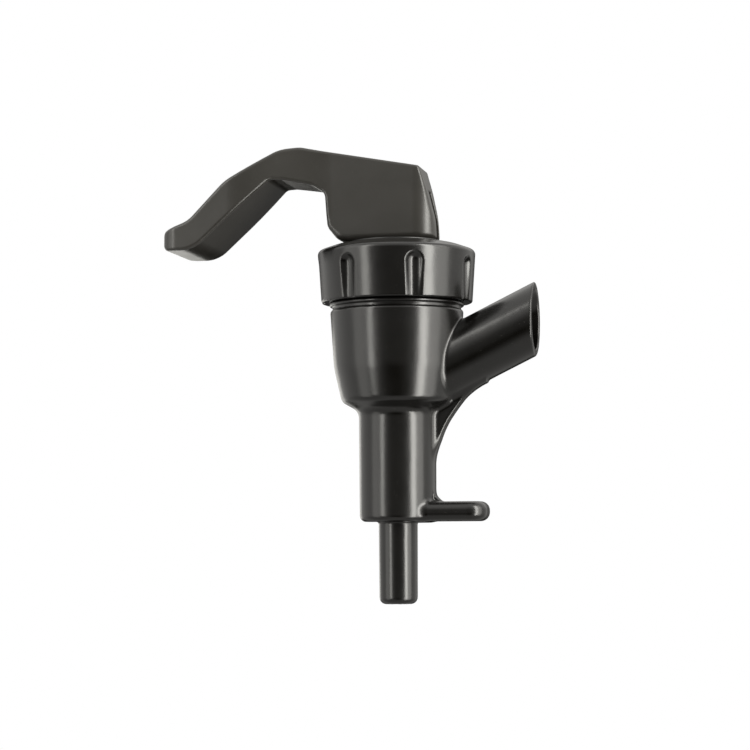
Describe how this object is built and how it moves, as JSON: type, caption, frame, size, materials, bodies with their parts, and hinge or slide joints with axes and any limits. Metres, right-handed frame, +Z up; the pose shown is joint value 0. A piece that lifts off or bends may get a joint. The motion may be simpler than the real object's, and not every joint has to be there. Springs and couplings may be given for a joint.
{
  "type": "lever faucet",
  "caption": "Black plastic dispenser faucet: pressing the thumb lever lifts a spring-loaded stem; slanted inlet tube, ribbed collar nut, slim downward spout and finger tab.",
  "frame": {"origin": "centre of the spout's mouth, on the upright valve axis", "axes": "+Z up the valve axis from spout to lever, +X towards the inlet (the lever reaches out towards -X), +Y across the lever"},
  "size_m": [0.0931, 0.0396, 0.1142],
  "materials": {
    "black_plastic": "gloss",
    "bonnet_plastic": "satin",
    "natural_plastic": "satin",
    "silicone": "satin",
    "seal_rubber": "matte",
    "stainless_steel": "satin"
  },
  "bodies": {
    "housing": {"body": "black_plastic"},
    "top_works": {"bonnet": "bonnet_plastic", "slip_ring": "natural_plastic", "stem_seal": "seal_rubber", "spring_washer": "stainless_steel", "return_spring": "stainless_steel", "seat_cup": "silicone"},
    "nut": {"collar_nut": "black_plastic"},
    "stem": {"stem": "natural_plastic", "pivot_pin": "stainless_steel"},
    "lever": {"lever": "black_plastic"}
  },
  "joints": [
    {"name": "top_lift", "type": "slide", "parent": "housing", "child": "top_works", "axis": [0, 0, 1], "range_m": [0, 0.0076]},
    {"name": "collar_turn", "type": "hinge", "parent": "top_works", "child": "nut", "pos_m": [0, 0, 0.08], "axis": [0, 0, 1], "range_deg": [0, 900]},
    {"name": "stem_lift", "type": "slide", "parent": "top_works", "child": "stem", "axis": [0, 0, 1], "range_m": [0, 0.0031], "deforming": ["return_spring", "seat_cup"]},
    {"name": "lever_tilt", "type": "hinge", "parent": "stem", "child": "lever", "pos_m": [0, 0, 0.0995], "axis": [0, -1, 0], "range_deg": [0, 16], "stiffness_Nm_per_rad": 0.1154, "springref_deg": -32}
  ],
  "couplings": [
    {"joint": "top_lift", "follows": "collar_turn", "m_per_rad": 0.00047746},
    {"joint": "stem_lift", "follows": "lever_tilt", "m_per_rad": 0.010743}
  ]
}
